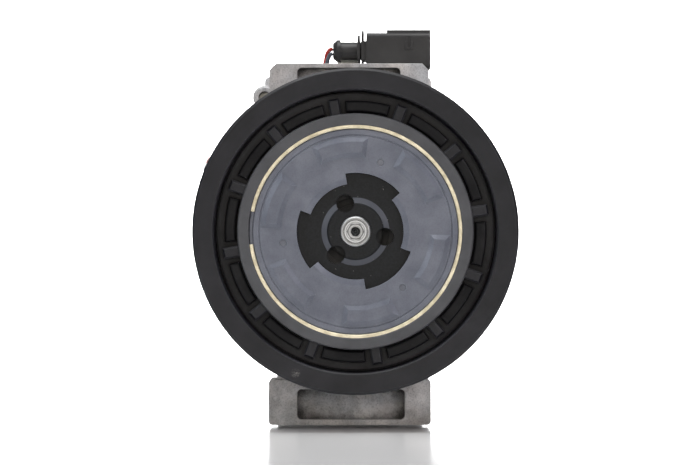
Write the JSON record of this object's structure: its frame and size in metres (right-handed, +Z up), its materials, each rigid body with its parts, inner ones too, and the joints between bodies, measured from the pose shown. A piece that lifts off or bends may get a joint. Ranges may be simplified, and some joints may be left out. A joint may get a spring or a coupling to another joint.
{
  "type": "automotive air-conditioning compressor",
  "caption": "Clutchless air-conditioning compressor for a car: grooved belt pulley, torque-limiting cover plate, swash-plate pump body, transverse mounting lugs and a wired plug on top.",
  "frame": {"origin": "on the shaft axis, at the middle of the belt track", "axes": "+Z up, the shaft along Y with the pulley towards -Y, +X to the right seen from the pulley"},
  "size_m": [0.1165, 0.196, 0.1402],
  "materials": {
    "cast_aluminium": "rough die-cast",
    "machined_aluminium": "machined",
    "pulley_black": "satin black moulding",
    "damper_rubber": "smooth black rubber",
    "seal_rubber": "black rubber",
    "dark_steel": "dark grey coated steel",
    "cover_grey": "satin blue-grey coated steel",
    "hub_black": "black coated steel",
    "pale_ring": "pale yellow plated spring ring",
    "shaft_steel": "turned steel",
    "bearing_steel": "ground bearing steel",
    "spring_steel": "blued spring steel",
    "iron": "machined iron",
    "zinc_steel": "zinc plated steel",
    "brass": "turned brass",
    "connector_black": "black moulding",
    "terminal_tin": "tin plated",
    "lead_red": "red insulation",
    "lead_black": "black insulation"
  },
  "bodies": {
    "root": {"bearing_snap_ring": "bearing_steel", "bracket_screws": "zinc_steel", "check_valve_body": "machined_aluminium", "connector_bracket": "zinc_steel", "connector_end_cap": "seal_rubber", "connector_housing": "connector_black", "connector_terminals": "terminal_tin", "control_valve_body": "machined_aluminium", "control_valve_circlip": "bearing_steel", "control_valve_o_rings": "seal_rubber", "cylinder_block": "cast_aluminium", "discharge_reed_plate": "spring_steel", "front_housing": "cast_aluminium", "front_needle_shell": "bearing_steel", "head_gasket": "seal_rubber", "housing_o_rings": "seal_rubber", "lead_black": "lead_black", "lead_clip": "connector_black", "lead_red": "lead_red", "oil_drain_plug": "zinc_steel", "piston_1": "machined_aluminium", "piston_2": "machined_aluminium", "piston_3": "machined_aluminium", "piston_4": "machined_aluminium", "piston_5": "machined_aluminium", "piston_6": "machined_aluminium", "piston_shoes": "bearing_steel", "pulley_bearing_inner_ring": "bearing_steel", "rear_head": "cast_aluminium", "rear_needle_shell": "bearing_steel", "relief_valve_body": "brass", "seal_circlip": "bearing_steel", "shaft_seal": "seal_rubber", "suction_reed_plate": "spring_steel", "through_bolts": "zinc_steel", "valve_plate": "spring_steel"},
    "rotor": {"pulley": "pulley_black", "drive_ring": "dark_steel", "damper_carrier": "pulley_black", "damper_blocks": "damper_rubber", "retaining_ring": "pale_ring", "cover_plate": "cover_grey", "limiter_ring": "seal_rubber", "limiter_rivets": "bearing_steel", "hub": "hub_black", "pulley_bearing_outer_ring": "bearing_steel", "pulley_bearing_seals": "seal_rubber", "drive_shaft": "shaft_steel", "lug_plate": "iron", "swash_plate": "iron", "link_pin": "bearing_steel", "destroke_spring": "spring_steel", "return_spring": "spring_steel"},
    "pulley_ball_cage": {"pulley_bearing_balls": "bearing_steel"},
    "front_needle_cage": {"front_needle_rollers": "bearing_steel"},
    "rear_needle_cage": {"rear_needle_rollers": "bearing_steel"},
    "thrust_cage": {"thrust_rollers": "bearing_steel"},
    "control_plunger": {"control_valve_plunger": "bearing_steel"},
    "check_poppet": {"check_valve_poppet": "machined_aluminium"},
    "relief_poppet": {"relief_valve_poppet": "bearing_steel"}
  },
  "joints": [
    {"name": "rotor_spin", "type": "hinge", "parent": "root", "child": "rotor", "pos_m": [0, 0, 0], "axis": [0, 1, 0], "continuous": true},
    {"name": "ball_cage_spin", "type": "hinge", "parent": "root", "child": "pulley_ball_cage", "pos_m": [0, 0, 0], "axis": [0, 1, 0], "continuous": true},
    {"name": "front_needle_spin", "type": "hinge", "parent": "root", "child": "front_needle_cage", "pos_m": [0, 0, 0], "axis": [0, 1, 0], "continuous": true},
    {"name": "rear_needle_spin", "type": "hinge", "parent": "root", "child": "rear_needle_cage", "pos_m": [0, 0, 0], "axis": [0, 1, 0], "continuous": true},
    {"name": "thrust_cage_spin", "type": "hinge", "parent": "root", "child": "thrust_cage", "pos_m": [0, 0, 0], "axis": [0, 1, 0], "continuous": true},
    {"name": "control_valve_stroke", "type": "slide", "parent": "root", "child": "control_plunger", "axis": [1, 0, 0], "range_m": [0, 0.0006], "stiffness_N_per_m": 500, "springref_m": -0.002},
    {"name": "check_valve_lift", "type": "slide", "parent": "root", "child": "check_poppet", "axis": [0, 1, 0], "range_m": [0, 0.003], "stiffness_N_per_m": 200, "springref_m": -0.002},
    {"name": "relief_valve_lift", "type": "slide", "parent": "root", "child": "relief_poppet", "axis": [0, 1, 0], "range_m": [0, 0.0012], "stiffness_N_per_m": 500, "springref_m": -0.002}
  ],
  "couplings": [
    {"joint": "ball_cage_spin", "follows": "rotor_spin", "ratio": 0.555},
    {"joint": "front_needle_spin", "follows": "rotor_spin", "ratio": 0.435},
    {"joint": "rear_needle_spin", "follows": "rotor_spin", "ratio": 0.435},
    {"joint": "thrust_cage_spin", "follows": "rotor_spin", "ratio": 0.5}
  ]
}
